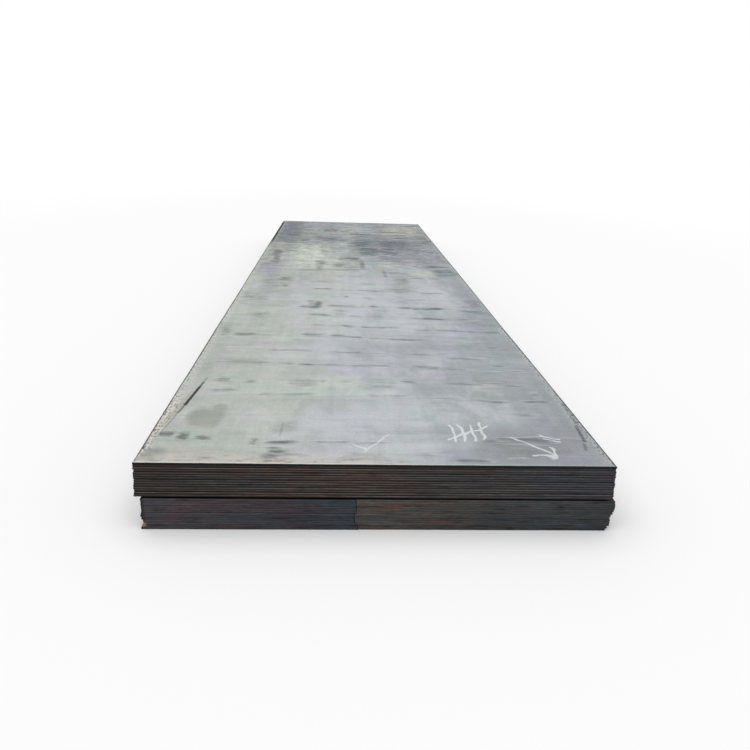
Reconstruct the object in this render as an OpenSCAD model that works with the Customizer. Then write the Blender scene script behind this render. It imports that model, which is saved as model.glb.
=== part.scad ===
// Stack of hot-rolled steel plates: one pack of full-width plates lying on two
// narrower packs that stand side by side. Millimetres, X across the plates,
// Y along them with the near end at -Y, origin at the middle of the underside.

/* [Plates] */
// Thickness of every plate as it lies: 8 mm stock, with its rolling tolerance and scale
plate_t = 8.4; // [5:0.1:16]
// Width of the full-width plates
plate_w = 1500; // [1000:10:2500]
// Length of the full-width plates
plate_l = 6000; // [2000:50:12000]

/* [Plate edges] */
// Radius of the rolled edges along both sides
mill_edge_r = 2.4; // [0.5:0.1:5]
// Bevel that the shear leaves along both ends
shear_bevel = 0.7; // [0.2:0.1:3]

/* [Upper pack] */
// Plates in the upper pack
upper_count = 14; // [1:1:20]
// Most that an upper plate is out of line along the stack
upper_end_wander = 1; // [0:0.5:10]
// Most that an upper plate is out of line across the stack
upper_side_wander = 1; // [0:0.5:10]
// How much further the lowest upper plate reaches on each side than the topmost
upper_flare = 4; // [0:0.5:10]

/* [Lower packs] */
// Layers in the lower packs
lower_count = 14; // [1:1:20]
// Where the two lower packs meet, from the middle of the top plate
seam_x = -67; // [-300:1:300]
// Clear gap between the two lower packs
seam_gap = 1; // [0.5:0.5:20]
// How far the lower left plates stop short of the upper pack's ends
left_setback = 4; // [1:0.5:40]
// How far the lower right plates stop short of the upper pack's ends
right_setback = 6; // [1:0.5:40]
// How much further the topmost lower layer stops short, which leaves a groove
groove_depth = 26; // [0:1:80]
// Most that a lower plate is out of line along the stack
lower_end_wander = 1; // [0:0.5:4]

/* [Hidden] */
// How far the outer sides of the lower packs lie inside the top plate's sides, or outside
// where negative, layer by layer from the floor up
left_inset = [10, 13, 17, 16, 11, 10, 12, 14, 14, 14, 13, 13, 12, 11];
right_inset = [6, 0, -6, -8, -7, -6, -7, -12, -15, -16, -17, -16, -15, -11];
// Wander of the seam to either side, layer by layer from the floor up
seam_wander = [9, 6, -1, -4, -6, -7, -5, 0, 1, 1, 0, -1, -1, 0];

// Turn between one plate and the next in the rule that puts them out of line
wander_turn = 137;
// Straight pieces in each quarter round of a rolled edge
edge_segments = 4;
// Least flat left between the two rounds or bevels of an edge
least_edge_flat = 0.5;
most_rounding = (plate_t - least_edge_flat) / 2;
edge_r = min(mill_edge_r, most_rounding);
end_bevel = min(shear_bevel, most_rounding);

lower_pack_h = lower_count * plate_t;

function two_digits(n) = n < 10 ? str("0", n) : str(n);
function names(stem, count) = [for (i = [1 : count]) str(stem, two_digits(i))];
function layer(list, i) = list[i % len(list)];
function out_of_line(i, most) = most * sin(i * wander_turn);

UPPER = names("upper_plate_", upper_count);
LEFT = names("lower_left_plate_", lower_count);
RIGHT = names("lower_right_plate_", lower_count);

// Quarter round about a centre, from one angle to the next quarter
function quarter_round(cx, cy, from) = [
    for (k = [0 : edge_segments])
        let (a = from + 90 * k / edge_segments)
            [cx + edge_r * cos(a), cy + edge_r * sin(a)]
];

// Section across a plate, with both sides rounded by the rolls
module side_section(w) {
    side = w / 2 - edge_r;
    top = plate_t - edge_r;
    polygon(concat(
        quarter_round(side, edge_r, -90),
        quarter_round(side, top, 0),
        quarter_round(-side, top, 90),
        quarter_round(-side, edge_r, 180)
    ));
}

// Section along a plate, with the sheared ends bevelled
module end_section(l) {
    face = l / 2 - end_bevel;
    top = plate_t - end_bevel;
    polygon([
        [-l / 2, end_bevel], [-face, 0], [face, 0], [l / 2, end_bevel],
        [l / 2, top], [face, plate_t], [-face, plate_t], [-l / 2, top]
    ]);
}

// One plate between two sides and two ends, at a height
module plate(sides, ends, z) {
    w = sides[1] - sides[0];
    l = ends[1] - ends[0];
    translate([(sides[0] + sides[1]) / 2, (ends[0] + ends[1]) / 2, z])
        intersection() {
            rotate([90, 0, 0])
                linear_extrude(height = l, center = true)
                    side_section(w);
            rotate([90, 0, 90])
                linear_extrude(height = w, center = true)
                    end_section(l);
        }
}

// Two limits of a length about the middle, one of them drawn in by a plate out of line
function limits(length, shift) = [
    -length / 2 + 2 * max(shift, 0),
    length / 2 + 2 * min(shift, 0)
];

// Share of the upper pack that lies above a plate of it
function share_above(i) = (upper_count - 1 - i) / max(upper_count - 1, 1);

// Sides of the plates of each pack, before the stack is set about its middle
function upper_sides(i) = limits(
    plate_w + 2 * upper_flare * share_above(i),
    out_of_line(2 * (upper_count - 1 - i), upper_side_wander)
);
function seam(i) = seam_x + layer(seam_wander, i);
function lower_left_sides(i) = [-plate_w / 2 + layer(left_inset, i), seam(i) - seam_gap / 2];
function lower_right_sides(i) = [seam(i) + seam_gap / 2, plate_w / 2 - layer(right_inset, i)];

// Middle of the stack, between the plates that reach furthest to each side
all_sides = concat(
    [for (i = [0 : upper_count - 1]) upper_sides(i)],
    [for (i = [0 : lower_count - 1]) lower_left_sides(i)],
    [for (i = [0 : lower_count - 1]) lower_right_sides(i)]
);
middle_x = (min([for (s = all_sides) s[0]]) + max([for (s = all_sides) s[1]])) / 2;
function about_middle(sides) = [sides[0] - middle_x, sides[1] - middle_x];

// A plate of the upper pack, counted from its lowest. The topmost one lies true.
module upper_plate(i) {
    color("dimgray")
        plate(
            about_middle(upper_sides(i)),
            limits(plate_l, out_of_line(upper_count - 1 - i, upper_end_wander)),
            lower_pack_h + i * plate_t
        );
}

// Ends of a lower plate, with the topmost layer drawn back to leave the groove
function lower_ends(i, setback) = limits(
    plate_l - 2 * (setback + (i == lower_count - 1 ? groove_depth : 0)),
    out_of_line(i + 1, lower_end_wander) / 2
);

// A plate of the lower left pack, counted from the floor
module lower_left_plate(i) {
    color("slategray")
        plate(about_middle(lower_left_sides(i)), lower_ends(i, left_setback), i * plate_t);
}

// A plate of the lower right pack, counted from the floor
module lower_right_plate(i) {
    color("gray")
        plate(about_middle(lower_right_sides(i)), lower_ends(i, right_setback), i * plate_t);
}

for (i = [0 : upper_count - 1])
    upper_plate(i);
for (i = [0 : lower_count - 1])
    lower_left_plate(i);
for (i = [0 : lower_count - 1])
    lower_right_plate(i);
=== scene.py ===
"""Looks of a stack of hot-rolled steel plates. Metres, in the solids' frame: X across, Y along, Z up."""
import math

import bpy
import numpy as np
from mathutils import Matrix, Vector


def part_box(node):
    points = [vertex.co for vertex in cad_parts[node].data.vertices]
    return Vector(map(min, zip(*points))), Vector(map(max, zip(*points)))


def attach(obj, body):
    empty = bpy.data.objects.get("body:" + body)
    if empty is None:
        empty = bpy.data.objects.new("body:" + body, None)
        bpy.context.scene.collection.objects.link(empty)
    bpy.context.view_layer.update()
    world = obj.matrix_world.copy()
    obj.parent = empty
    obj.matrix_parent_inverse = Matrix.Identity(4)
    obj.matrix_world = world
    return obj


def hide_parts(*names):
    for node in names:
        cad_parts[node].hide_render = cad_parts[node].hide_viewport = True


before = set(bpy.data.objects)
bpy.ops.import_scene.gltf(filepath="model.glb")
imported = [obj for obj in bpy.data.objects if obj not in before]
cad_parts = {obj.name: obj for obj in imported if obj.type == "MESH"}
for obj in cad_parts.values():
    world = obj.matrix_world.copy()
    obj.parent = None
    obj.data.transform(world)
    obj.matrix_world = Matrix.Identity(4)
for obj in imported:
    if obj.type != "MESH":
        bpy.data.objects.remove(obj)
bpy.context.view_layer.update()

MM = 0.001
PERCENT = 0.01

# Plates and their packs
TOP_PLATE = "upper_plate_14"
PACKS = ("upper", "lower_left", "lower_right")
TOP_LOW, TOP_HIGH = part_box(TOP_PLATE)
PLATE_T = TOP_HIGH.z - TOP_LOW.z
CENTRE_X = (TOP_LOW.x + TOP_HIGH.x) / 2
HALF_W = (TOP_HIGH.x - TOP_LOW.x) / 2
HALF_L = TOP_HIGH.y
SEED = 7

# Camera, as the photograph was taken
CAMERA_AT = (CENTRE_X - 0.136, -4.951, 1.205)
CAMERA_YAW_RIGHT = math.radians(3.32)
CAMERA_PITCH_DOWN = math.radians(19.14)
CAMERA_ROLL = math.radians(2.02)
CAMERA_LENS_MM = 33.72
SENSOR_MM = 36.0
CAMERA_REACH = 200.0

# Light and stage
SKY_FILL = 0.5
KEY_STRENGTH = 1.65
KEY_SOFTNESS = math.radians(80)
KEY_TILT = (math.radians(8), math.radians(-6), 0.0)
FLOOR_SIZE = 120.0
FLOOR_COLOUR = (0.96, 0.96, 0.96, 1.0)
FLOOR_ROUGHNESS = 0.9
# How far away the floor starts to turn white and where it is white, with lengths along Y shortened
FLOOR_FADE = (3.6, 7.0)
FLOOR_FADE_STRETCH = (1.0, 0.55, 0.0)

# Edge profile of a plate: share of the thickness from the underside, draw-in of the sheared ends
# and draw-in of the rolled sides, in millimetres
EDGE_PROFILE = (
    (0.00, 1.6, 2.4),
    (0.03, 0.6, 1.7),
    (0.11, 0.2, 0.8),
    (0.34, 0.6, 0.1),
    (0.60, 0.4, 0.0),
    (0.70, 0.0, 0.2),
    (0.86, 0.0, 0.8),
    (0.95, 0.4, 1.5),
    (0.99, 1.0, 2.1),
    (1.00, 1.8, 2.4),
)
END_STEP = 0.010
SIDE_STEP = 0.060
SHARP_ANGLE = math.radians(35)
# How far the edges wander, and the lengths of the swings there with the share of each
RAGGED_END = 0.5 * MM
RAGGED_SIDE = {"upper": 0.4 * MM, "lower_left": 1.1 * MM, "lower_right": 1.1 * MM}
END_SWINGS = ((0.14, 1.0), (0.022, 0.6))
SIDE_SWINGS = ((0.9, 1.0), (0.12, 0.5))
NICKS_PER_PLATE = 14
NICK_DEPTH = 2.6 * MM
NICK_HALF_WIDTH = 0.009
NICK_SIZES = (0.25, 1.0)

# Grid of the top plate's face: fine columns by the left edge, and more rows near the camera
FINE_MARGIN = 0.13
FINE_STEP = 0.005
COLUMN_STEP = 0.011
ROWS = 460
NEAR_ROW_SHARE = 0.55

# Relief of the top face: long waves, each with its turns along Y and X and its start, and creases
WAVE_HEIGHT = 0.5 * MM
WAVES = ((2.3, 1.7, 0.0), (5.1, -2.2, 1.0))
CREASE_HEIGHT = 0.5 * MM

# Coil breaks across the top face: from x, to x, y at the start, rise to the end and half height, in
# millimetres, and strength in percent
STREAKS = (
    # Along the near end
    (-365, -300, -2885, 0, 10, 85), (-350, -285, -2910, -2, 10, 110), (-420, -385, -2900, -5, 10, 60),
    (-375, -315, -2950, 0, 12, 120), (-360, -330, -2974, 0, 8, 120), (-310, -270, -2962, 0, 10, 60),
    (-300, -220, -2930, -10, 10, 70), (-100, -30, -2955, -5, 12, 60), (0, 50, -2965, 0, 9, 35),
    (-680, -640, -2955, 0, 10, 50), (-580, -500, -2960, 0, 8, 45), (120, 190, -2925, 0, 7, 55),
    (230, 360, -2960, -10, 10, 85), (420, 480, -2950, 0, 9, 40), (-740, -660, -2785, 0, 12, 75),
    (-610, -530, -2815, -7, 10, 50), (-370, -250, -2846, 4, 12, 85), (-220, -90, -2832, -3, 10, 65),
    (-90, 60, -2840, 5, 9, 40), (350, 420, -2810, 0, 12, 75), (400, 620, -2805, 0, 22, 45),
    (670, 720, -2820, 20, 12, 30),
    # Near quarter
    (450, 620, -2580, -5, 12, 40), (640, 670, -2360, 0, 30, 55), (-640, -500, -2360, -10, 16, 60),
    (-440, -380, -2405, 0, 16, 35), (-360, -210, -2405, 5, 11, 60), (-210, -120, -2405, -5, 10, 40),
    (-30, 160, -2400, -15, 14, 40), (160, 200, -2430, -10, 14, 30), (240, 390, -2420, -15, 14, 40),
    (390, 540, -2445, -10, 11, 55), (580, 690, -2455, 5, 11, 95), (-620, -560, -2240, 0, 24, 50),
    (-510, -450, -2265, -5, 14, 85), (-360, -180, -2240, 0, 20, 30), (-140, 50, -2245, -5, 14, 35),
    (120, 200, -2240, -5, 12, 80), (200, 490, -2255, -5, 13, 40), (470, 560, -2245, -5, 24, 30),
    (550, 630, -2270, -5, 10, 60), (-640, -410, -1980, -20, 26, 25), (-400, -310, -2010, -15, 16, 65),
    (-320, -230, -2030, -5, 14, 75), (-210, -90, -2030, 0, 17, 55), (-90, 110, -2035, 0, 16, 55),
    (190, 320, -2035, -25, 20, 65), (320, 450, -2060, -15, 22, 40), (540, 620, -2020, 0, 14, 60),
    (540, 700, -2085, -5, 16, 35), (-460, -230, -1825, 0, 14, 55), (-650, -570, -1810, 0, 20, 30),
    (-180, 0, -1840, -5, 14, 45), (0, 120, -1850, -5, 20, 30), (200, 470, -1860, -5, 20, 40),
    (360, 540, -1910, -10, 18, 50), (570, 660, -1730, 0, 18, 50), (230, 310, -1720, 0, 16, 30),
    (-380, -180, -1655, 5, 24, 35), (350, 450, -1645, 0, 18, 40), (-660, -530, -1575, 0, 22, 80),
    (-320, -180, -1555, 0, 18, 75), (-180, 0, -1560, -40, 18, 60), (0, 310, -1610, -10, 20, 62),
    # Middle
    (-280, -140, -1375, -5, 16, 40), (-125, -30, -1385, -5, 24, 60), (-30, 200, -1400, -5, 16, 55),
    (250, 360, -1430, 0, 16, 60), (360, 720, -1435, -15, 18, 58), (-320, -270, -1250, 0, 18, 60),
    (-300, -155, -1160, 5, 24, 70), (-145, -90, -1070, 0, 55, 35), (-90, 10, -1170, -10, 16, 50),
    (250, 460, -1190, -10, 18, 80), (500, 600, -1200, 0, 16, 50), (200, 300, -955, -5, 18, 90),
    (290, 490, -965, 0, 22, 95), (-370, -230, -980, 5, 30, 65), (-270, -230, -905, 0, 65, 125),
    (-320, -280, -830, 0, 30, 100), (-200, -20, -935, 0, 28, 75), (-20, 30, -950, 0, 22, 60),
    (40, 100, -945, 0, 22, 140), (-600, -430, -950, -20, 18, 50), (-200, -90, -690, 0, 16, 55),
    (-100, -70, -695, 0, 20, 115), (0, 90, -715, -15, 20, 60), (240, 420, -755, 5, 18, 55),
    (-720, -550, -700, 0, 22, 35), (-300, -165, -480, 5, 18, 90), (-30, 140, -490, -40, 22, 65),
    (200, 350, -500, 0, 26, 30), (370, 550, -550, 0, 20, 55), (-300, -180, -240, -10, 24, 45),
    (0, 140, -290, -20, 20, 55), (-150, -90, -70, 0, 34, 55), (-90, 60, -60, 20, 20, 40),
    (180, 220, 0, 0, 30, 70), (360, 480, -75, -5, 20, 55), (480, 600, -80, 0, 20, 50),
    (-440, 50, 130, 70, 26, 45), (-650, -450, 300, 0, 30, 50),
    # Far half
    (50, 220, 1185, 0, 24, 150), (250, 360, 1165, 0, 22, 140), (160, 320, 890, 0, 24, 50),
    (400, 560, 970, 0, 24, 80), (30, 180, 860, 0, 24, 60), (-100, 50, 700, 0, 40, 60),
    (280, 560, 2270, 0, 26, 100), (360, 540, 2070, 0, 24, 110), (380, 540, 1860, 0, 24, 100),
    (500, 700, 2770, 0, 28, 100), (340, 600, 2550, 0, 26, 50), (-40, 180, 2080, -20, 30, 120),
    (560, 700, 1100, 0, 26, 70), (-300, -210, 2260, 0, 40, 80), (-200, -130, 2320, 0, 50, 90),
    (-500, -360, 2300, 0, 40, 50), (-100, 20, 2560, 0, 30, 70), (-450, -200, 2600, 0, 30, 50),
    # Faint ones that run most of the way across
    (-600, 400, -2405, -25, 13, 22), (-400, 700, -2240, -35, 14, 24), (-680, 660, -2010, -70, 16, 30),
    (-600, 620, -1820, -70, 16, 26), (-620, 600, -1570, -60, 18, 28), (-360, 700, -1375, -75, 18, 28),
    (-360, 660, -1160, -50, 18, 28), (-620, 560, -955, -15, 20, 28), (-520, 620, -700, -65, 20, 26),
    (-500, 600, -480, -75, 22, 26), (-400, 500, -250, -60, 24, 24), (-200, 620, -60, -25, 24, 26),
)
STREAK_UNITS = (MM, MM, MM, MM, MM, PERCENT)
# How they spread, fade at both ends, wander and break up, with the length of each swing, and the bells
# that they are made of, as share and width
STREAK_SPREAD = 1.4
STREAK_FADE = 0.07
STREAK_END_SHARE = 0.4
STREAK_DRIFT, STREAK_DRIFT_LENGTH = 0.4, 0.07
STREAK_BREAKS, STREAK_BREAK_LENGTH = 0.20, 0.05
STREAK_BELLS = ((0.6, 0.7), (0.4, 1.5))

# Patches on the top face, by kind: x, y, half width and half length in millimetres, and strength in
# percent. Most are scale of another colour, dark areas lose light, and flecked ones have pale flecks
PATCHES = {
    "cream": (
        (-370, 760, 120, 460, 95), (-180, 720, 80, 350, 55), (270, 450, 100, 100, 65),
        (470, 100, 90, 120, 80), (170, 200, 20, 180, 50), (-400, -150, 100, 300, 35),
        (-100, -2300, 200, 120, 35), (450, -2330, 80, 100, 40), (-360, -2600, 100, 200, 35),
    ),
    "pale": (
        (450, -620, 160, 400, 80), (-90, 1430, 80, 140, 55), (250, -1950, 90, 180, 70),
        (-170, -1750, 100, 160, 55), (50, -750, 200, 280, 70), (0, -200, 160, 220, 55),
        (50, -2620, 140, 140, 45), (-350, -850, 70, 400, 50), (420, -1320, 120, 100, 40),
        (360, -2500, 200, 140, 50), (-180, -2720, 160, 150, 60), (220, -1220, 100, 340, 85),
        (240, -2120, 80, 100, 60),
    ),
    "mauve": (
        (580, 800, 220, 500, 85), (-550, 2750, 150, 300, 50), (-300, 2620, 220, 360, 70),
        (-660, 220, 100, 270, 85), (-120, 1620, 100, 200, 40), (500, 350, 100, 60, 60),
        (100, -1750, 250, 250, 50), (300, -2200, 150, 200, 20), (200, 750, 120, 140, 60),
        (560, -2860, 200, 150, 85), (620, -1740, 80, 50, 60), (700, -500, 60, 500, 60),
        (300, 2850, 300, 180, 40), (580, -2100, 140, 300, 40),
    ),
    "beige": (
        (500, 2400, 200, 450, 65), (0, 2440, 110, 200, 60), (180, 300, 30, 200, 40),
        (620, 2720, 100, 200, 60), (-600, 1250, 90, 280, 50), (-30, 580, 70, 120, 45),
        (-620, -2930, 130, 50, 60), (-400, -2950, 100, 40, 45),
    ),
    "blue": (
        (-310, 1760, 45, 100, 90), (-115, 1630, 45, 60, 60), (-455, 1610, 40, 80, 85),
        (345, 1480, 120, 200, 100), (300, 1060, 90, 150, 85), (-620, 2200, 110, 750, 95),
        (-680, 2850, 60, 140, 90), (240, 720, 80, 90, 50), (-450, 2630, 30, 70, 50),
        (550, 380, 120, 60, 50),
    ),
    "teal": (
        (122, 1040, 80, 170, 115), (80, 1480, 110, 190, 90), (660, 160, 90, 120, 60),
        (-210, 2600, 40, 300, 40), (-233, 2340, 75, 110, 75), (-206, 1720, 70, 130, 85),
        (-20, 660, 60, 100, 50), (540, 1150, 40, 200, 40), (160, 1950, 140, 220, 45),
        (-580, -350, 100, 350, 32), (-640, -750, 120, 250, 28), (660, -1000, 100, 400, 28),
    ),
    "olive": (
        (-638, 890, 34, 120, 115), (-620, 650, 26, 90, 105), (-630, 470, 35, 80, 55),
        (-260, 1000, 35, 100, 50), (-270, 460, 35, 100, 80), (-275, 260, 25, 130, 55),
        (-90, 660, 45, 100, 60), (45, 400, 18, 160, 70), (-130, 370, 50, 70, 60), (-480, -170, 50, 90, 40),
        (200, 60, 16, 110, 55), (-480, -420, 20, 60, 40), (-550, -1250, 50, 180, 35),
        (-700, -1500, 30, 100, 45),
    ),
    "spot": (
        (-694, -2785, 30, 18, 75), (-640, -2800, 20, 30, 80), (-572, -2812, 30, 18, 62),
        (-403, -2840, 12, 26, 60), (-725, -2955, 20, 16, 80), (-345, -2965, 16, 18, 50),
        (-330, -2910, 28, 14, 35), (-588, -2235, 24, 24, 50), (-408, -2402, 28, 16, 42),
        (-196, -2245, 14, 20, 40), (-290, 1760, 30, 50, 70), (-10, 2090, 20, 35, 80),
    ),
    "stain": (
        (-590, -2640, 52, 72, 150), (-560, -2550, 26, 32, 90), (-300, -2700, 35, 40, 55),
    ),
    "smudge": (
        (-315, -2720, 45, 50, 35), (500, -2860, 140, 70, 50), (-550, -2000, 120, 50, 40),
        (-40, 270, 50, 150, 65), (305, -180, 45, 160, 65), (280, -450, 85, 100, 65),
        (-270, -2270, 50, 50, 60), (20, -2270, 90, 60, 40), (500, -2240, 80, 50, 60),
        (-590, -2230, 50, 50, 45), (-330, -2960, 50, 40, 70), (-60, -2950, 60, 35, 50),
        (-710, -2940, 40, 50, 60), (-270, -920, 40, 90, 80), (-120, -1080, 40, 70, 60),
        (280, 110, 100, 50, 55), (0, 1100, 50, 200, 60),
    ),
    "dark_area": (
        (260, 1300, 320, 420, 230), (-560, 2250, 220, 850, 120), (620, 1000, 200, 600, 80),
        (560, -2880, 260, 170, 85), (220, -2970, 220, 50, 60), (-450, -120, 240, 400, 75),
        (660, -1200, 100, 800, 65), (-620, -450, 160, 600, 50), (620, 150, 120, 200, 40),
        (-660, 350, 100, 500, 55), (-200, 1750, 220, 220, 60), (-600, -2000, 120, 50, 40),
        (20, -2270, 100, 60, 40), (560, -1280, 130, 400, 60), (670, -2600, 100, 400, 90),
        (-600, -1570, 120, 80, 60), (-550, -1250, 160, 350, 60), (300, 200, 340, 550, 80),
        (280, 700, 400, 260, 230), (-660, 850, 160, 500, 160), (140, 150, 150, 220, 160),
        (-60, 1120, 80, 180, 130), (-700, -1750, 70, 750, 90),
    ),
    "flecked_area": (
        (270, -280, 70, 220, 100), (40, 0, 60, 120, 70), (-270, -740, 70, 100, 70),
        (-470, 50, 50, 140, 60), (-400, -2880, 100, 100, 60),
    ),
}
PATCH_UNITS = (MM, MM, MM, MM, PERCENT)
PATCH_FALL = 0.7
DARK_AREA_LOSS = 0.13

# Gouge near the left edge, from its far end to the near corner, its half width at each point and the
# painted shade in its crease between two points
GOUGE = (
    (-0.661, -2.22), (-0.667, -2.28), (-0.672, -2.33), (-0.689, -2.52), (-0.698, -2.60), (-0.717, -2.78),
    (-0.736, -2.95),
)
GOUGE_HALF_WIDTHS = (0.003, 0.005, 0.009, 0.008, 0.004, 0.003, 0.002)
GOUGE_SHADE = (0.40, 0.70, 0.95, 0.60, 0.40, 0.30)
GOUGE_DEPTH = 2.0 * MM
GOUGE_BANK = 0.003
GOUGE_FADE = 0.1
# Strip between the gouge and the edge: x of its inner rim as a slope along y and an offset, where along
# y its painted light starts and its dirt ends, and how far the plate is lifted over which width
STRIP_LINE = (0.103, -0.4305)
STRIP_START_Y = (-2.30, -2.60)
STRIP_DIRT_END_Y = (-2.86, -2.70)
STRIP_LIFT, STRIP_LIFT_WIDTH = 1.6 * MM, 0.06

# Thin dark scratches on the top face: from x, y to x, y, half width and darkness
SCRATCHES = (
    ((0.738, -2.46), (0.730, -2.66), 0.011, 0.45), ((0.722, -2.68), (0.708, -2.81), 0.010, 0.60),
    ((0.700, -2.83), (0.690, -2.88), 0.008, 0.40), ((-0.318, -2.68), (-0.322, -2.79), 0.006, 0.20),
)

# Generic chalk strokes on the top face: from x, y to x, y
CHALK_FAINT = (
    ((-0.085, -2.845), (-0.045, -2.895)), ((-0.045, -2.895), (0.040, -2.775)),
)
CHALK_CLEAR = (
    ((0.255, -2.700), (0.262, -2.825)), ((0.292, -2.690), (0.300, -2.820)),
    ((0.330, -2.680), (0.338, -2.812)), ((0.368, -2.672), (0.372, -2.800)),
    ((0.235, -2.805), (0.400, -2.690)), ((0.470, -2.770), (0.560, -2.940)),
    ((0.560, -2.940), (0.500, -2.930)), ((0.560, -2.940), (0.575, -2.865)),
    ((0.570, -2.770), (0.640, -2.790)), ((0.585, -2.800), (0.630, -2.812)),
)
CHALK_HALF_WIDTH = 0.0075
CHALK_SWAY = (0.07, 0.07, 0.0)
CHALK_WOBBLE = 0.004
CHALK_FAINT_COVER, CHALK_CLEAR_COVER = 0.40, 0.66

# Wear on the top face, and a painted highlight along its near edge, as distances from the side or
# the near end at which each starts and is full, and a painted shade line along the far part of the
# left side, where the stack's shaded side shows, with the y at which it starts and ends
SPECK_BAND = (0.052, 0.014)
PIT_BAND = (0.036, 0.012)
BLUSH_BAND = (0.095, 0.015)
DIRT_BAND = (0.11, 0.01)
LIP_HIGHLIGHT_BAND = (0.012, 0.005)
SHADED_SIDE_BAND = (0.028, 0.018)
SHADED_SIDE_START_Y = (1.05, 1.75)
SHADED_SIDE_END_Y = (2.99, 2.80)

# The far part of the top face: the y between which it turns darker and busier, what is left of the light
# there, and what is left of the fine lines in the near part
FAR_SHADE_Y, FAR_SHADE = (0.4, 1.9), 0.665
FAR_DETAIL_Y = (-0.2, 0.7)
NEAR_LINE_SHARE = 0.42


def srgb(red, green, blue):
    """A colour given as 0 to 255 on screen, as the linear colour that a shader takes."""
    def linear(value):
        share = value / 255
        return share / 12.92 if share <= 0.04045 else ((share + 0.055) / 1.055) ** 2.4

    return (linear(red), linear(green), linear(blue), 1.0)


# Colours of the scale on the top face
GREEN_GREY = srgb(182, 186, 181)
LAVENDER_GREY = srgb(184, 188, 192)
TEAL_GREY = srgb(158, 164, 167)
# Casts multiply a colour
TEAL_CAST = (0.92, 0.985, 0.95, 1.0)
LILAC_CAST = (1.04, 0.99, 1.08, 1.0)
PATCH_COLOURS = {
    "cream": srgb(192, 197, 188),
    "pale": srgb(190, 193, 197),
    "mauve": srgb(156, 157, 165),
    "beige": srgb(174, 173, 162),
    "blue": srgb(112, 118, 127),
    "teal": srgb(100, 114, 118),
    "olive": srgb(118, 119, 111),
    "smudge": srgb(142, 147, 143),
    "spot": srgb(108, 112, 107),
    "stain": srgb(154, 159, 151),
}
# Kinds with rims that are drawn out across the plate, and kinds with rims that are ragged finely
STRIATED_PATCHES = ("blue", "teal", "olive", "smudge")
FINE_PATCHES = ("spot",)
STREAK_GREY = srgb(92, 99, 99)
PALE_GREY = srgb(202, 206, 205)
# Pale edge colour, also used for the painted highlight on the near lip
EDGE_LIGHT = srgb(216, 213, 208)
EDGE_DARK = srgb(64, 62, 60)
RUST = srgb(96, 66, 52)
CHALK_WHITE = srgb(236, 240, 240)
# Dark of the painted shade in the gouge and along the far left side, and of the scratches
SHADE_AND_SCRATCH_DARK = srgb(40, 40, 38)
# Painted light on the bent strip beside the gouge
STRIP_PAINTED_LIGHT = srgb(213, 206, 200)
LIP_DIRT = srgb(126, 117, 104)
LIP_BLUSH = srgb(202, 192, 185)
STRIP_DIRT = srgb(150, 148, 136)
INSIDE_DARK, INSIDE_PALE = srgb(92, 92, 94), srgb(128, 130, 132)

# Colours on the cut edges
RED_CAST = (1.20, 0.90, 0.90, 1.0)
BLUE_CAST = (0.86, 0.99, 1.16, 1.0)
MAROON = srgb(92, 58, 54)
TAN = srgb(136, 122, 94)
# Looks of the cut edges, by pack. The tint turns from left to right at turn_x, contrast is the strength
# of the burnished lines, which are partly painted highlight, and of the painted shade in the gaps, and
# right_share what is left of it to the right, and cool is how blue the near end is there. Bands are two
# heights in plates from the floor and a gain, some of them painted shade, dark ends the x where the
# shade starts, the x where it is full and a gain, the narrow ones painted shade on the side faces, and
# spots a middle and half sizes in x and z
TURN_REACH = 0.22
EDGE_LOOKS = {
    "upper": {
        "ground": srgb(50, 46, 43), "line": srgb(97, 90, 85),
        "left": srgb(55, 47, 44), "right": srgb(56, 57, 61),
        "turn_x": 0.30, "contrast": 1.0, "right_share": 0.68, "dashes": 0.52, "cool": 0.90,
        # The band is painted shade on the top plate's edge, under its lip
        "bands": ((26.5, 28.5, 0.22),),
        # The narrow dark end on the right is painted shade on the shaded side face
        "dark_ends": ((-0.20, -0.72, 0.74), (0.744, 0.751, 0.50)),
        "maroon_spots": ((-0.03, 0.190, 0.14, 0.022), (-0.43, 0.180, 0.040, 0.020)),
    },
    "lower_left": {
        "ground": srgb(60, 60, 66), "line": srgb(82, 80, 84),
        "left": srgb(71, 67, 70), "right": srgb(52, 59, 65),
        "turn_x": -0.40, "contrast": 0.25, "right_share": 0.8, "dashes": 0.42, "cool": 0.0,
        # The top two bands: a lighter top plate, then painted shade at its rim in the groove under the
        # upper pack
        "bands": ((-1.0, 0.7, 0.60), (6.95, 7.35, 0.50), (12.0, 13.0, 1.15), (12.95, 14.0, 0.15)),
        # Painted shade on the shaded side face at the left end
        "dark_ends": ((-0.722, -0.735, 0.35),),
        "tan_spots": ((-0.734, 0.017, 0.011, 0.009),),
    },
    "lower_right": {
        "ground": srgb(70, 67, 65), "line": srgb(95, 89, 83),
        "left": srgb(84, 76, 69), "right": srgb(51, 57, 60),
        "turn_x": 0.22, "contrast": 0.25, "right_share": 0.8, "dashes": 0.42, "cool": 0.45,
        # The top two bands: a lighter top plate, then painted shade at its rim in the groove under the
        # upper pack
        "bands": ((-1.0, 0.7, 0.60), (11.2, 13.0, 1.25), (12.95, 14.0, 0.15)),
        "dark_ends": ((0.55, 0.78, 0.82),),
    },
}


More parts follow.
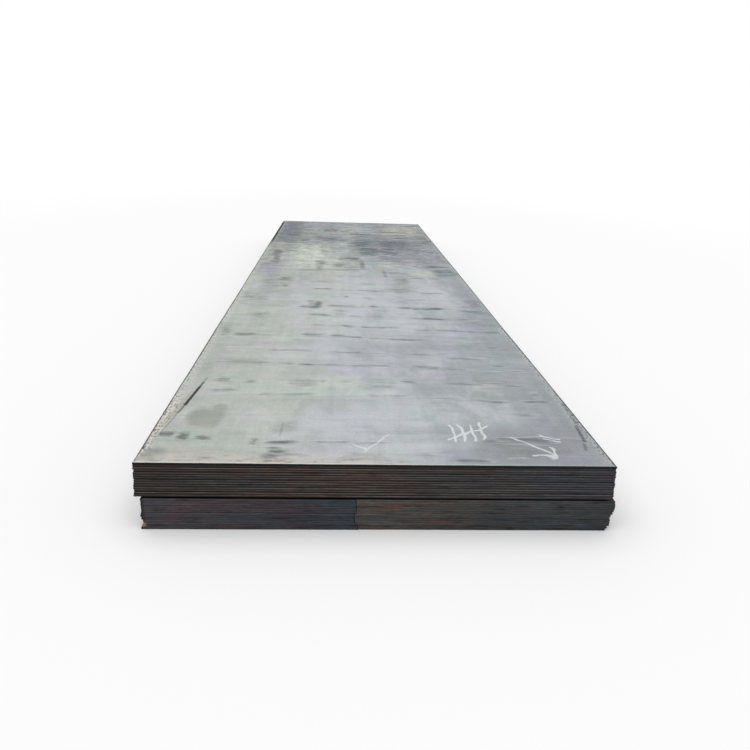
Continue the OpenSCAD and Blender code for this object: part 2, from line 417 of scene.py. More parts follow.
class Graph:
    """A material's node tree, with short calls for the nodes used here. The functions below call it g."""

    def __init__(self, name):
        self.material = bpy.data.materials.new(name)
        self.material.use_nodes = True
        self.tree = self.material.node_tree
        self.tree.nodes.clear()
        self.shader = self.add("ShaderNodeBsdfPrincipled")
        output = self.add("ShaderNodeOutputMaterial")
        self.tree.links.new(self.shader.outputs[0], output.inputs["Surface"])
        world = self.add("ShaderNodeNewGeometry").outputs["Position"]
        self.place = self.vector("SUBTRACT", world, (CENTRE_X, 0.0, 0.0))
        self.x, self.y, self.z = self.add_with("ShaderNodeSeparateXYZ", self.place).outputs

    def add(self, kind, **settings):
        node = self.tree.nodes.new(kind)
        for key, value in settings.items():
            setattr(node, key, value)
        return node

    def put(self, value, socket):
        """Link a socket to a value that varies, or set it to one that does not."""
        if isinstance(value, bpy.types.NodeSocket):
            self.tree.links.new(value, socket)
        else:
            socket.default_value = value

    def fill(self, node, values):
        """Put values into a node's sockets, by their names or numbers."""
        for key, value in values.items():
            self.put(value, node.inputs[key])

    def add_with(self, kind, *values, **settings):
        node = self.add(kind, **settings)
        self.fill(node, dict(enumerate(values)))
        return node

    def math(self, operation, *values, clamp=False):
        return self.add_with("ShaderNodeMath", *values, operation=operation, use_clamp=clamp).outputs[0]

    def product(self, result, *others):
        for other in others:
            result = self.math("MULTIPLY", result, other)
        return result

    def centred(self, noise, reach):
        """Noise from 0 to 1 as a swing of so much to either side."""
        return self.math("MULTIPLY_ADD", noise, 2 * reach, -reach)

    def vector(self, operation, *values, output=0):
        """Vector maths, with the result as a vector, or as a number if the output is 1."""
        return self.add_with("ShaderNodeVectorMath", *values, operation=operation).outputs[output]

    def ramp(self, value, low, high, to_low=0.0, to_high=1.0):
        """A smooth change from one value to another while the input goes from low to high."""
        node = self.add_with("ShaderNodeMapRange", value, low, high, to_low, to_high)
        node.interpolation_type = "SMOOTHSTEP"
        return node.outputs[0]

    def noise(self, stretch, detail=3.0, roughness=0.55, shift=0.0, output="Fac"):
        """Noise over the object with so many features a metre along X, Y and Z."""
        spread = self.vector("MULTIPLY_ADD", self.place, stretch, (shift, shift, shift))
        node = self.add("ShaderNodeTexNoise")
        self.fill(node, {"Vector": spread, "Scale": 1.0, "Detail": detail, "Roughness": roughness})
        return node.outputs[output]

    def random(self, number):
        """A random value from 0 to 1 for each whole number."""
        node = self.add("ShaderNodeTexWhiteNoise", noise_dimensions="1D")
        self.put(number, node.inputs["W"])
        return node.outputs["Value"]

    def attribute(self, name):
        return self.add("ShaderNodeAttribute", attribute_name=name).outputs["Fac"]

    def mix(self, factor, first, second, blend="MIX"):
        node = self.add("ShaderNodeMix", data_type="RGBA", blend_type=blend)
        self.fill(node, {0: factor, 6: first, 7: second})
        return node.outputs[2]

    def over(self, colour, paint, *masks):
        """Paint over a colour, as thick as the masks let it through."""
        return self.mix(self.product(*masks), colour, paint)

    def tint(self, colour, cast, *masks):
        """A colour multiplied by a cast, as far as the masks let it through."""
        return self.mix(self.product(*masks), colour, cast, "MULTIPLY")

    def times(self, colour, value):
        """A colour made darker or lighter, or a vector scaled, by a value that varies."""
        return self.vector("SCALE", colour, (0, 0, 0), (0, 0, 0), value)

    def surface(self, colour, roughness, specular):
        values = {"Base Color": colour, "Roughness": roughness, "Specular IOR Level": specular}
        self.fill(self.shader, values)

    def bump(self, height, distance, strength):
        node = self.add("ShaderNodeBump")
        self.fill(node, {"Height": height, "Distance": distance, "Strength": strength})
        self.fill(self.shader, {"Normal": node.outputs[0]})

    def segment_distance(self, start, end, place=None):
        """Distance on the flat from a straight stroke between two points."""
        start, end = Vector((*start, 0.0)), Vector((*end, 0.0))
        along = end - start
        flat = self.vector("MULTIPLY", place or self.place, (1.0, 1.0, 0.0))
        offset = self.vector("SUBTRACT", flat, start)
        share = self.vector("DOT_PRODUCT", offset, along / along.length_squared, output=1)
        reach = self.math("ADD", share, 0.0, clamp=True)
        return self.vector("DISTANCE", offset, self.times(along, reach), output=1)

    def nearest(self, strokes, place):
        """Distance on the flat from the nearest of several strokes."""
        distances = [self.segment_distance(*stroke, place) for stroke in strokes]
        nearest = distances[0]
        for distance in distances[1:]:
            nearest = self.math("MINIMUM", nearest, distance)
        return nearest

    def spot_reach(self, at_x, at_z, half_w, half_h):
        """Squared distance from the middle of a spot on the near end, 1 at its rim."""
        off_x = self.math("DIVIDE", self.math("SUBTRACT", self.x, at_x), half_w)
        off_z = self.math("DIVIDE", self.math("SUBTRACT", self.z, at_z), half_h)
        return self.math("ADD", self.product(off_x, off_x), self.product(off_z, off_z))


def chalk(g, colour, strokes, cover):
    """Powdery strokes over a colour, drawn with an unsteady hand."""
    grain = g.noise((260, 260, 260), detail=2.0)
    sway = g.vector("SUBTRACT", g.noise((11, 11, 11), detail=1.0, output="Color"), (0.5, 0.5, 0.5))
    place = g.vector("MULTIPLY_ADD", sway, CHALK_SWAY, g.place)
    wobble = g.centred(g.noise((40, 40, 40)), CHALK_WOBBLE)
    distance = g.math("ADD", g.nearest(strokes, place), wobble)
    line = g.ramp(distance, CHALK_HALF_WIDTH, CHALK_HALF_WIDTH * 0.35)
    powder = g.ramp(grain, 0.30, 0.55, 0.35, 1.0)
    return g.over(colour, CHALK_WHITE, line, powder, cover)


def patch_layer(g, colour, kind, noise):
    """One kind of scale patch, with ragged rims."""
    spread = g.math("ADD", g.attribute(kind), g.centred(noise, 1.0))
    inside = g.ramp(g.attribute(kind), 0.03, 0.30)
    mask = g.product(g.ramp(spread, 0.0, 0.95, 0.0, 0.92), inside)
    return g.over(colour, PATCH_COLOURS[kind], mask)


def base_scale(g, mottle):
    """Ground colour of the top face: greenish to the left, bluish to the right, darker far away, painted
    ripple shade.
    """
    broad = g.noise((2.2, 1.1, 1.0), detail=5.0, roughness=0.6, shift=3.1)
    across = g.math("ADD", g.x, g.centred(broad, 0.8))
    colour = g.mix(g.ramp(across, -0.45, 0.10), GREEN_GREY, LAVENDER_GREY)
    colour = g.over(colour, TEAL_GREY, g.ramp(across, 0.05, 0.60))
    cast = g.noise((4.2, 3.6, 1.0), detail=4.0, roughness=0.6, shift=7.9)
    colour = g.tint(colour, TEAL_CAST, g.ramp(cast, 0.50, 0.64))
    colour = g.tint(colour, LILAC_CAST, g.ramp(cast, 0.48, 0.34))
    # Painted shade of the plate's long ripples: soft light and dark bands across
    ripple_shade = g.noise((0.9, 6.5, 1.0), shift=9.4)
    rolled = g.noise((30, 0.9, 1.0), shift=5.3)
    bands = g.noise((7.0, 0.5, 1.0), detail=2.0, shift=2.6)
    shade = g.ramp(g.y, *FAR_SHADE_Y, 1.0, FAR_SHADE)
    for value, swing in ((ripple_shade, 0.08), (rolled, 0.035), (bands, 0.04), (mottle, 0.07)):
        shade = g.product(shade, g.ramp(value, 0.28, 0.72, 1 - swing, 1 + swing))
    return g.times(colour, shade)


def fine_detail(g, colour, blotch, grain):
    """Small blotches, pale flecks, faint dark and pale lines across, and grain."""
    far = g.ramp(g.y, *FAR_DETAIL_Y)
    smears = g.noise((8, 15, 1), detail=4.0, roughness=0.6, shift=6.9)
    for value, near_swing, far_swing in ((blotch, 0.040, 0.17), (smears, 0.012, 0.20)):
        most = g.math("MULTIPLY_ADD", far, far_swing - near_swing, near_swing)
        swing = g.product(g.ramp(value, 0.30, 0.70, -1.0, 1.0), most)
        colour = g.times(colour, g.math("ADD", swing, 1.0))
    flecks = g.ramp(g.noise((9, 26, 1), detail=4.0, roughness=0.65, shift=5.1), 0.52, 0.76, 0.0, 0.50)
    flecked = g.math("MAXIMUM", far, g.attribute("flecked_area"))
    colour = g.over(colour, PALE_GREY, flecks, flecked)
    share = g.math("MULTIPLY_ADD", far, 1 - NEAR_LINE_SHARE, NEAR_LINE_SHARE)
    for pitch, cover in ((36, 0.46), (15, 0.40)):
        lines = g.noise((3.0, pitch, 1), detail=4.0, roughness=0.6, shift=2.2)
        colour = g.over(colour, STREAK_GREY, g.ramp(lines, 0.53, 0.80, 0.0, cover), share)
    pale_lines = g.noise((4.5, 30, 1), detail=4.0, roughness=0.65, shift=7.3)
    colour = g.over(colour, PALE_GREY, g.ramp(pale_lines, 0.52, 0.80, 0.0, 0.60), share)
    return g.times(colour, g.ramp(grain, 0.3, 0.7, 0.95, 1.05))


def streak_colour(g, colour, fray):
    """The coil breaks: a soft grey, pale frayed rims and a dark broken core."""
    blocks = g.noise((15, 14, 1), detail=4.0, roughness=0.6, shift=4.2)
    streak = g.attribute("streak")
    colour = g.over(colour, STREAK_GREY, streak, 0.24)
    rims = g.product(g.ramp(streak, 0.03, 0.14), g.ramp(streak, 0.42, 0.20))
    colour = g.over(colour, PALE_GREY, rims, g.ramp(fray, 0.52, 0.40, 0.0, 0.45))
    frayed = g.ramp(fray, 0.36, 0.60, 0.55, 1.10)
    core = g.product(streak, frayed, g.ramp(blocks, 0.34, 0.60, 0.70, 1.10))
    return g.over(colour, STREAK_GREY, g.ramp(core, 0.04, 0.80, 0.0, 0.88))


def worn_and_shaded_sides(g, colour, speck):
    """A dark outermost line along both sides, pale specks and pits inside it, and painted shade far left.
    """
    edge = g.math("SUBTRACT", HALF_W, g.math("ABSOLUTE", g.x))
    along = g.noise((2.0, 5.0, 1.0), detail=4.0, shift=4.7)
    band = g.product(g.ramp(edge, *SPECK_BAND), g.ramp(speck, 0.44, 0.60, 0.05, 0.75))
    band = g.product(band, g.ramp(g.x, -0.3, 0.3, 1.0, 0.55), g.ramp(along, 0.36, 0.58, 0.25, 1.0))
    colour = g.over(colour, EDGE_LIGHT, band)
    pits = g.product(g.ramp(speck, 0.46, 0.36), g.ramp(edge, *PIT_BAND), 0.65)
    colour = g.over(colour, EDGE_DARK, pits)
    width = g.math("MULTIPLY_ADD", along, 0.012, 0.003)
    line = g.math("ADD", edge, g.centred(speck, 0.004))
    outermost = g.ramp(g.math("DIVIDE", line, width), 1.1, 0.5, 0.0, 0.85)
    colour = g.over(colour, EDGE_DARK, outermost)
    # Painted shade: a dark line along the far part of the left side, where the stack's shaded side shows
    left = g.ramp(g.math("ADD", g.x, HALF_W), *SHADED_SIDE_BAND)
    length = g.product(g.ramp(g.y, *SHADED_SIDE_START_Y), g.ramp(g.y, *SHADED_SIDE_END_Y))
    return g.over(colour, SHADE_AND_SCRATCH_DARK, left, length)


def near_lip(g, colour):
    """A rubbed blush and dirt beside the near end, most of it to the left, and a painted highlight on the
    lip.
    """
    from_lip = g.math("ADD", g.y, HALF_L)
    blush = g.product(g.ramp(from_lip, *BLUSH_BAND), g.ramp(g.x, 0.22, -0.12))
    mottled = g.ramp(g.noise((13, 40, 1), detail=5.0, roughness=0.7, shift=3.8), 0.36, 0.64, 0.10, 0.75)
    colour = g.over(colour, LIP_BLUSH, blush, mottled)
    dirt = g.product(g.ramp(from_lip, *DIRT_BAND), g.ramp(g.x, 0.30, -0.25, 0.20, 1.0))
    smuts = g.ramp(g.noise((20, 50, 1), detail=5.0, roughness=0.7, shift=8.3), 0.50, 0.70, 0.0, 0.80)
    colour = g.over(colour, LIP_DIRT, dirt, smuts)
    # Painted highlight: the near edge of the face is lighter where it catches the light
    painted_light = g.product(g.ramp(from_lip, *LIP_HIGHLIGHT_BAND), g.ramp(g.x, 0.30, -0.20, 0.15, 0.75))
    return g.over(colour, EDGE_LIGHT, painted_light)


def gouge_marks(g, colour, speck):
    """The gouge with painted shade in its crease, the bent strip outside it with painted light, and
    scratches.
    """
    slope, offset = STRIP_LINE
    outside = g.math("SUBTRACT", g.math("MULTIPLY_ADD", g.y, slope, offset), g.x)
    strip = g.product(g.ramp(outside, 0.0, 0.012), g.ramp(g.y, *STRIP_START_Y))
    # Painted light: the bent strip is lighter where it tilts toward the light
    painted_light = g.product(strip, g.ramp(speck, 0.42, 0.58, 0.05, 0.80))
    colour = g.over(colour, STRIP_PAINTED_LIGHT, painted_light)
    beside = g.product(g.ramp(outside, 0.034, 0.012, 0.0, 0.60), g.ramp(g.y, *STRIP_DIRT_END_Y), strip)
    colour = g.over(colour, STRIP_DIRT, beside)
    pits = g.product(strip, g.ramp(speck, 0.45, 0.37, 0.0, 0.60))
    colour = g.over(colour, EDGE_DARK, pits)
    wobble = g.centred(speck, 0.003)
    # Painted shade along the gouge's crease, with a strength of its own between each two points
    for k, darkness in enumerate(GOUGE_SHADE):
        cut = g.math("ADD", g.segment_distance(GOUGE[k], GOUGE[k + 1]), wobble)
        half = (GOUGE_HALF_WIDTHS[k] + GOUGE_HALF_WIDTHS[k + 1]) / 2
        colour = g.over(colour, SHADE_AND_SCRATCH_DARK, g.ramp(cut, half, half * 0.4, 0.0, darkness))
    for start, end, half, darkness in SCRATCHES:
        cut = g.math("ADD", g.segment_distance(start, end), wobble)
        colour = g.over(colour, SHADE_AND_SCRATCH_DARK, g.ramp(cut, half, half * 0.3, 0.0, darkness))
    return colour


def top_face_material():
    """Pale mill scale: coil breaks, patches, worn edges, painted light and shade, a gouge, chalk strokes.
    """
    g = Graph("mill_scale_top")
    mottle = g.noise((9, 5, 1), detail=6.0, roughness=0.65, shift=1.7)
    blotch = g.noise((22, 13, 1), detail=5.0, roughness=0.7, shift=6.6)
    strands = g.noise((10, 24, 1), detail=5.0, roughness=0.65, shift=3.4)
    grit = g.noise((45, 70, 1), detail=4.0, roughness=0.6, shift=2.8)
    fray = g.noise((7, 95, 1), detail=4.0, roughness=0.6, shift=8.9)
    grain = g.noise((140, 90, 90))
    speck = g.noise((110, 60, 60), roughness=0.7)

    colour = base_scale(g, mottle)
    for kind in PATCH_COLOURS:
        rims = strands if kind in STRIATED_PATCHES else grit if kind in FINE_PATCHES else mottle
        colour = patch_layer(g, colour, kind, rims)
    colour = g.times(colour, g.math("MULTIPLY_ADD", g.attribute("dark_area"), -DARK_AREA_LOSS, 1.0))
    colour = fine_detail(g, colour, blotch, grain)
    colour = streak_colour(g, colour, fray)
    colour = gouge_marks(g, colour, speck)
    colour = worn_and_shaded_sides(g, colour, speck)
    colour = near_lip(g, colour)
    colour = chalk(g, colour, CHALK_FAINT, CHALK_FAINT_COVER)
    colour = chalk(g, colour, CHALK_CLEAR, CHALK_CLEAR_COVER)

    g.surface(colour, g.ramp(mottle, 0.25, 0.75, 0.55, 0.72), 0.08)
    g.bump(g.math("ADD", grain, g.product(fray, 0.6)), 0.6 * MM, 0.5)
    return g.material


def edge_tint(g, look, across, broad, along):
    """Ground colour of one pack's cut edges, which changes from left to right, with maroon spots."""
    turn = g.ramp(across, look["turn_x"] - TURN_REACH, look["turn_x"] + TURN_REACH)
    tint = g.mix(turn, look["left"], look["right"])
    colour = g.mix(g.ramp(broad, 0.3, 0.7, 0.35, 0.85), look["ground"], tint)
    for spot in look.get("maroon_spots", ()):
        spread = g.math("ADD", g.spot_reach(*spot), g.centred(along, 0.8))
        colour = g.over(colour, MAROON, g.ramp(spread, 1.3, 0.0, 0.0, 0.36))
    return colour


def edge_shade(g, look, height, fade, broad, near):
    """Light and dark on the cut edges: painted shade in gaps, rough breaks with relief, plates, bands,
    ends.
    """
    phase = g.math("FRACT", height)
    fine = g.noise((60, 60, 300), shift=6.1)
    # Painted shade in the gaps between plates, which also darkens the rough break over the lower part of
    # each edge
    depth = g.ramp(g.random(g.math("ROUND", height)), 0.0, 1.0, 0.70, 0.95)
    break_and_gap_shade = g.math("ADD", g.ramp(phase, 0.46, 0.16), g.ramp(phase, 0.93, 0.99))
    break_and_gap_shade = g.product(break_and_gap_shade, depth, fade, g.ramp(broad, 0.30, 0.60, 0.75, 1.0))
    own = g.ramp(g.random(g.math("FLOOR", height)), 0.0, 1.0, 0.86, 1.12)
    shade = g.product(g.math("SUBTRACT", 1.0, break_and_gap_shade), g.ramp(fine, 0.25, 0.75, 0.84, 1.16), own)
    # Bands of darker or lighter plates, some of them painted shade under the top lip and in the groove
    # between packs
    for low, high, gain in look["bands"]:
        middle, half = (low + high) / 2, (high - low) / 2
        off = g.math("ABSOLUTE", g.math("SUBTRACT", height, middle))
        shade = g.product(shade, g.ramp(off, half, half * 0.7, 1.0, gain))
    # Darker towards the ends; the narrow dark ends are painted shade on the shaded side faces
    for start, full, gain in look["dark_ends"]:
        loss = g.product(g.ramp(g.x, start, full, 0.0, 1.0 - gain), near)
        shade = g.product(shade, g.math("SUBTRACT", 1.0, loss))
    g.bump(fine, 0.8 * MM, 0.6)
    return shade


def edge_material(pack):
    """Cut edges of one pack: a burnished line on each plate, partly painted highlight, over a rough dark
    break.
    """
    look = EDGE_LOOKS[pack]
    g = Graph(f"{pack}_edges")
    height = g.math("DIVIDE", g.z, PLATE_T)
    along = g.noise((5, 5, 130), detail=4.0, roughness=0.6)
    broad = g.noise((3.5, 3.5, 10), shift=4.4)
    across = g.math("ADD", g.x, g.centred(broad, 0.25))
    near = g.ramp(g.y, 0.30 - HALF_L, 0.05 - HALF_L)
    colour = edge_tint(g, look, across, broad, along)

    # Burnished line along each plate, partly painted highlight where the upper part of the edge catches
    # the light
    phase = g.math("FRACT", height)
    band = g.product(g.ramp(phase, 0.52, 0.70), g.ramp(phase, 0.97, 0.86))
    shown = g.product(band, g.ramp(along, 0.30, 0.62, 0.25, 1.0))
    fade = g.ramp(g.x, 0.15, 0.60, look["contrast"], look["contrast"] * look["right_share"])
    colour = g.over(colour, look["line"], shown, fade)
    cast = g.noise((4.5, 4.5, 24), detail=4.0, roughness=0.6, shift=1.9)
    colour = g.tint(colour, RED_CAST, g.ramp(cast, 0.50, 0.66))
    colour = g.tint(colour, BLUE_CAST, g.ramp(cast, 0.50, 0.34))
    cool = g.product(g.ramp(across, 0.25, 0.70, 0.0, look["cool"]), near)
    colour = g.tint(colour, BLUE_CAST, cool)
    dashes = g.noise((11, 11, 120), detail=4.0, roughness=0.65, shift=2.9)
    colour = g.times(colour, g.ramp(dashes, 0.50, 0.66, 1.0, look["dashes"]))
    rubbed = g.noise((13, 13, 130), detail=4.0, roughness=0.65, shift=5.8)
    colour = g.times(colour, g.ramp(rubbed, 0.52, 0.70, 1.0, 1.35))
    colour = g.times(colour, edge_shade(g, look, height, fade, broad, near))
    for spot in look.get("tan_spots", ()):
        front = g.ramp(g.y, 0.030 - HALF_L, 0.010 - HALF_L)
        colour = g.over(colour, TAN, g.ramp(g.spot_reach(*spot), 1.4, 0.4), front)
    rust = g.noise((9, 9, 60), detail=5.0, roughness=0.7, shift=7.7)
    colour = g.over(colour, RUST, g.ramp(rust, 0.62, 0.80, 0.0, 0.35))

    g.surface(colour, g.ramp(along, 0.3, 0.7, 0.55, 0.75), 0.2)
    return g.material


def plain_face_material():
    """Mill scale on the faces that lie inside the stack, of which only a rim shows, with painted shade
    near the ends.
    """
    g = Graph("mill_scale_inside")
    mottle = g.noise((9, 5, 9), detail=5.0, roughness=0.6, shift=1.2)
    colour = g.mix(g.ramp(mottle, 0.3, 0.7), INSIDE_DARK, INSIDE_PALE)
    rust = g.noise((14, 14, 14), detail=5.0, roughness=0.7, shift=3.3)
    colour = g.over(colour, RUST, g.ramp(rust, 0.58, 0.76, 0.0, 0.5))
    # Painted shade: the faces turn almost black near the ends, where the groove between the packs lies in
    # shade
    dirt = g.ramp(g.math("ABSOLUTE", g.y), HALF_L - 0.06, HALF_L - 0.03, 1.0, 0.10)
    g.surface(g.times(colour, dirt), g.ramp(mottle, 0.3, 0.7, 0.5, 0.68), 0.2)
    g.bump(mottle, 0.6 * MM, 0.5)
    return g.material


def smooth_noise(values, step, rng):
    """Random values from -1 to 1 every step along a line, blended smoothly in between."""
    low, high = values.min(), values.max()
    knots = np.arange(low - step, high + 2 * step, step)
    heights = rng.uniform(-1, 1, len(knots))
    place = (values - knots[0]) / step
    index = np.clip(place.astype(int), 0, len(knots) - 2)
    share = place - index
    share = share * share * (3 - 2 * share)
    return heights[index] * (1 - share) + heights[index + 1] * share


def wander(along, reach, swings, rng):
    """A ragged line: noise of several lengths, each with its share."""
    return reach * sum(share * smooth_noise(along, length, rng) for length, share in swings)


def nicks(along, rng):
    """Small knocks at a few places along an edge, as depths."""
    depth = np.zeros(len(along))
    for at in rng.uniform(along.min(), along.max(), NICKS_PER_PLATE):
        size = rng.uniform(*NICK_SIZES)
        reach = NICK_HALF_WIDTH * (0.5 + size)
        bump = np.clip(1 - np.abs(along - at) / reach, 0, 1)
        depth = np.maximum(depth, NICK_DEPTH * size * bump)
    return depth


def run_of(*columns):
    """One side of a plate's outline: x and y of its points, and which way is outwards in x and y."""
    return np.stack(np.broadcast_arrays(*columns), axis=1)


def outline(xs, ys):
    """A plate's outline as seen from above, once round from the near left corner."""
    near = run_of(xs[:-1], ys[:1], 0, -1)
    right = run_of(xs[-1:], ys[:-1], 1, 0)
    far = run_of(xs[:0:-1], ys[-1:], 0, 1)
    left = run_of(xs[:1], ys[:0:-1], -1, 0)
    near[0, 2], right[0, 3], far[0, 2], left[0, 3] = -1, -1, 1, 1
    return np.concatenate([near, right, far, left])


def quads(index):
    """Faces between the rows and columns of a grid of point numbers."""
    corners = [index[:-1, :-1], index[:-1, 1:], index[1:, 1:], index[1:, :-1]]
    return np.stack(corners, axis=-1).reshape(-1, 4).tolist()


def plate_edge(xs, ys, low_z, ragged_side, rng):
    """Rings of points round a plate's edge, upwards, the faces between them and the top ring's start."""
    line = outline(xs, ys)
    along = np.concatenate([[0.0], np.cumsum(np.hypot(*np.diff(line[:, :2], axis=0).T))])
    wander_end = wander(along, RAGGED_END, END_SWINGS, rng)
    wander_side = wander(along, ragged_side, SIDE_SWINGS, rng)
    knocks = nicks(along, rng)
    rings = []
    for share, end_inset, side_inset in EDGE_PROFILE:
        knock = knocks * max(0.0, 2 * share - 1)
        side_in = side_inset * MM + knock - wander_side
        end_in = end_inset * MM + knock - wander_end
        x = line[:, 0] - line[:, 2] * np.maximum(side_in, 0.0)
        y = line[:, 1] - line[:, 3] * np.maximum(end_in, 0.0)
        z = np.full(len(line), low_z + share * PLATE_T)
        rings.append(np.stack([x, y, z], axis=1))
    points = np.concatenate(rings)
    index = np.arange(len(points)).reshape(len(rings), len(line))
    sides = quads(np.pad(index, ((0, 0), (0, 1)), "wrap"))
    return points, sides, len(points) - len(line)


def corner_indices(xs, ys):
    """Where the right, far and left runs of an outline start, and how many points it has."""
    across, down = len(xs) - 1, len(ys) - 1
    return across, across + down, 2 * across + down, 2 * (across + down)


def strip_cap(ring_start, xs, ys, upwards):
    """Faces that close a plate's flat side with strips from one side to the other."""
    right, far, left, count = corner_indices(xs, ys)
    faces = [[*range(right + 2), count - 1], [*range(far - 1, left + 2)]]
    for k in range(1, len(ys) - 2):
        faces.append([count - k, right + k, right + k + 1, count - k - 1])
    turned = [face if upwards else face[::-1] for face in faces]
    return [[ring_start + i for i in face] for face in turned]


def grid_cap(ring_start, inner_start, xs, ys):
    """Faces of a full grid over a plate's upper side, with the top ring as its rim."""
    columns, rows = len(xs), len(ys)
    right, far, left, count = corner_indices(xs, ys)
    index = np.zeros((rows, columns), int)
    inner = np.arange((rows - 2) * (columns - 2)).reshape(rows - 2, columns - 2)
    index[1:-1, 1:-1] = inner_start + inner
    index[0, :] = ring_start + np.arange(columns)
    index[:, -1] = ring_start + right + np.arange(rows)
    index[-1, ::-1] = ring_start + far + np.arange(columns)
    index[::-1, 0] = ring_start + (left + np.arange(rows)) % count
    return quads(index)


def build_piece(node, points, sides, caps, face_material, edge):
    """A plate's mesh object, with one material on its flat faces and another on its edge."""
    name = f"{node}_steel"
    mesh = bpy.data.meshes.new(name)
    mesh.from_pydata(points.tolist(), [], sides + caps)
    mesh.materials.append(face_material)
    mesh.materials.append(edge)
    mesh.polygons.foreach_set("material_index", [1] * len(sides) + [0] * len(caps))
    mesh.polygons.foreach_set("use_smooth", [True] * len(sides + caps))
    mesh.set_sharp_from_angle(angle=SHARP_ANGLE)
    mesh.validate()
    piece = bpy.data.objects.new(name, mesh)
    bpy.context.scene.collection.objects.link(piece)
    return piece


def steps(low, high, step):
    """Even places from low to high, about a step apart."""
    return np.linspace(low, high, max(3, int(round((high - low) / step)) + 1))


def plain_plate(node, pack, face_material, edge):
    """A plate inside the stack, of which the edges show."""
    low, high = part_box(node)
    xs, ys = steps(low.x, high.x, END_STEP), steps(low.y, high.y, SIDE_STEP)
    rng = np.random.default_rng([SEED, sum(node.encode())])
    points, sides, top_ring = plate_edge(xs, ys, low.z, RAGGED_SIDE[pack], rng)
    caps = strip_cap(0, xs, ys, False) + strip_cap(top_ring, xs, ys, True)
    return build_piece(node, points, sides, caps, face_material, edge)


def bell(distance):
    """1 in the middle, and less and less away from it."""
    return np.exp(-distance * distance)


def streak_marks(x, y, rng):
    """How far each point of the top face lies in a coil break, and the crease there."""
    dark, crease = np.zeros_like(x), np.zeros_like(x)
    for start, end, start_y, rise, half, strength in np.multiply(STREAKS, STREAK_UNITS):
        middle_y = start_y + rise * (x - start) / (end - start)
        drift = half * STREAK_DRIFT * smooth_noise(x, STREAK_DRIFT_LENGTH, rng)
        patchy = 1 - STREAK_BREAKS + STREAK_BREAKS * smooth_noise(x, STREAK_BREAK_LENGTH, rng)
        off = (y - middle_y - drift) / (half * STREAK_SPREAD)
        inside = np.clip(np.minimum(x - start, end - x) / STREAK_FADE + STREAK_END_SHARE, 0, 1)
        reach = inside * inside * (3 - 2 * inside) * patchy
        soft = sum(share * bell(off / width) for share, width in STREAK_BELLS)
        dark = np.maximum(dark, strength * reach * soft)
        crease += strength * reach * off * bell(off)
    return dark, crease


def patch_marks(x, y, patches):
    """How far each point lies inside the patches of one kind."""
    value = np.zeros_like(x)
    for at_x, at_y, half_w, half_l, strength in np.multiply(patches, PATCH_UNITS):
        off_x, off_y = np.abs((x - at_x) / half_w), np.abs((y - at_y) / half_l)
        value = np.maximum(value, strength * np.exp(-PATCH_FALL * (off_x ** 3 + off_y ** 3)))
    return value


def gouge_relief(x, y):
    """Depth of the gouge, and the lift of the strip between it and the left edge."""
    line_x, line_y = np.transpose(GOUGE[::-1])
    across = x - np.interp(y, line_y, line_x)
    half = np.interp(y, line_y, GOUGE_HALF_WIDTHS[::-1])
    from_ends = np.clip((y - line_y[0]) / GOUGE_FADE, 0, 1) * np.clip((line_y[-1] - y) / GOUGE_FADE, 0, 1)
    cut = bell(across / (half + GOUGE_BANK)) * half / max(GOUGE_HALF_WIDTHS)
    lift = np.clip(-across / STRIP_LIFT_WIDTH, 0, 1)
    return from_ends * (STRIP_LIFT * lift - GOUGE_DEPTH * cut)


def top_plate(face_material, edge):
    """The plate on top of the stack, with its whole face modelled."""
    low, high = TOP_LOW, TOP_HIGH
    fine = np.arange(low.x, low.x + FINE_MARGIN, FINE_STEP)
    xs = np.concatenate([fine, steps(low.x + FINE_MARGIN, high.x, COLUMN_STEP)])
    share = np.linspace(0, 1, ROWS)
    ys = low.y + (high.y - low.y) * (NEAR_ROW_SHARE * share + (1 - NEAR_ROW_SHARE) * share ** 2)
    rng = np.random.default_rng(SEED)
    rim, sides, top_ring = plate_edge(xs, ys, low.z, RAGGED_SIDE["upper"], rng)
    inner_x, inner_y = np.meshgrid(xs[1:-1], ys[1:-1])
    inner = np.stack([inner_x.ravel(), inner_y.ravel(), np.full(inner_x.size, high.z)], axis=1)
    points = np.concatenate([rim, inner])
    x, y = points[:, 0], points[:, 1]
    mark_x = x - CENTRE_X
    dark, crease = streak_marks(mark_x, y, rng)
    waves = sum(np.sin(turns_y * y + turns_x * x + start) for turns_y, turns_x, start in WAVES)
    relief = WAVE_HEIGHT * (waves - len(WAVES)) + CREASE_HEIGHT * crease + gouge_relief(mark_x, y)
    points[:, 2] += relief * (points[:, 2] - low.z) / PLATE_T

    caps = strip_cap(0, xs, ys, False) + grid_cap(top_ring, len(rim), xs, ys)
    piece = build_piece(TOP_PLATE, points, sides, caps, face_material, edge)
    marks = {kind: patch_marks(mark_x, y, patches) for kind, patches in PATCHES.items()}
    marks["streak"] = dark
    for name, values in marks.items():
        layer = piece.data.attributes.new(name, "FLOAT", "POINT")
        layer.data.foreach_set("value", values.astype(np.float32))
    return piece


def make_plates():
    """Every plate of the stack, each in place of its solid."""
    inside = plain_face_material()
    edges = {pack: edge_material(pack) for pack in PACKS}
    top_face = top_face_material()
    for node in sorted(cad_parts):
        pack = next(name for name in PACKS if node.startswith(name + "_plate"))
        if node == TOP_PLATE:
            piece = top_plate(top_face, edges[pack])
        else:
            piece = plain_plate(node, pack, inside, edges[pack])
        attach(piece, "root")
        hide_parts(node)


def make_camera():
    """A camera where the photograph was taken."""
    data = bpy.data.cameras.new("camera")
    data.sensor_width = SENSOR_MM
    data.lens = CAMERA_LENS_MM
    data.clip_end = CAMERA_REACH
    camera = bpy.data.objects.new("camera", data)
    turn = (
        Matrix.Rotation(-CAMERA_YAW_RIGHT, 4, "Z")
        @ Matrix.Rotation(math.pi / 2 - CAMERA_PITCH_DOWN, 4, "X")
        @ Matrix.Rotation(CAMERA_ROLL, 4, "Z")
    )
    camera.matrix_world = Matrix.Translation(CAMERA_AT) @ turn
    bpy.context.scene.collection.objects.link(camera)
    bpy.context.scene.camera = camera


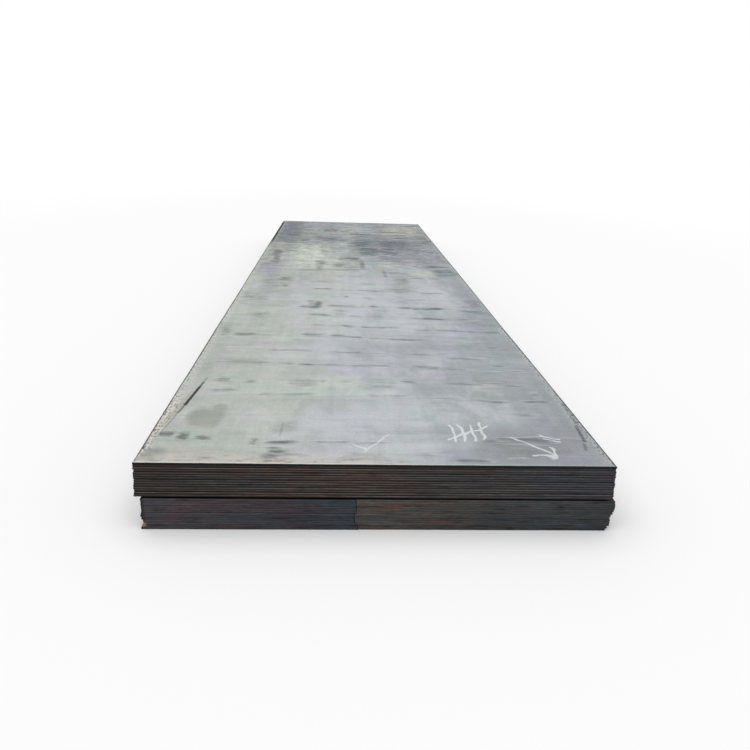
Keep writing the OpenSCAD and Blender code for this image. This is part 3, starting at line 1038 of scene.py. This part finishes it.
def seen_directly(tree):
    """1 for rays from the camera, mirrors and glass, and 0 for those that carry light."""
    path = tree.nodes.new("ShaderNodeLightPath")
    total = path.outputs["Is Camera Ray"]
    for name in ("Is Glossy Ray", "Is Transmission Ray"):
        add = tree.nodes.new("ShaderNodeMath")
        add.operation = "MAXIMUM"
        tree.links.new(total, add.inputs[0])
        tree.links.new(path.outputs[name], add.inputs[1])
        total = add.outputs[0]
    return total


def make_world():
    """A white surround that lights the stack softly from all sides."""
    world = bpy.data.worlds.new("surround")
    bpy.context.scene.world = world
    world.use_nodes = True
    tree = world.node_tree
    background = tree.nodes["Background"]
    background.inputs["Color"].default_value = (1, 1, 1, 1)
    level = tree.nodes.new("ShaderNodeMapRange")
    level.inputs["To Min"].default_value = SKY_FILL
    level.inputs["To Max"].default_value = 1.0
    tree.links.new(seen_directly(tree), level.inputs["Value"])
    tree.links.new(level.outputs[0], background.inputs["Strength"])


def make_key_light():
    """A broad soft light from above."""
    data = bpy.data.lights.new("key", "SUN")
    data.energy = KEY_STRENGTH
    data.angle = KEY_SOFTNESS
    key = bpy.data.objects.new("key", data)
    key.rotation_euler = KEY_TILT
    bpy.context.scene.collection.objects.link(key)


def make_floor():
    """A pale floor that keeps the stack's shadow and runs out into the white surround."""
    half = FLOOR_SIZE / 2
    mesh = bpy.data.meshes.new("floor")
    corners = [(-half, -half, 0), (half, -half, 0), (half, half, 0), (-half, half, 0)]
    mesh.from_pydata(corners, [], [(0, 1, 2, 3)])
    floor = bpy.data.objects.new("floor", mesh)
    bpy.context.scene.collection.objects.link(floor)
    g = Graph("floor_white")
    g.surface(FLOOR_COLOUR, FLOOR_ROUGHNESS, 0.0)
    stretched = g.vector("MULTIPLY", g.place, FLOOR_FADE_STRETCH)
    away = g.ramp(g.vector("LENGTH", stretched, output=1), *FLOOR_FADE)
    white = g.add("ShaderNodeEmission").outputs[0]
    share = g.product(away, seen_directly(g.tree))
    fade = g.add_with("ShaderNodeMixShader", share, g.shader.outputs[0], white)
    g.put(fade.outputs[0], g.tree.nodes["Material Output"].inputs["Surface"])
    mesh.materials.append(g.material)


make_camera()
make_world()
make_key_light()
make_floor()
make_plates()
bpy.context.scene.view_settings.view_transform = "Standard"
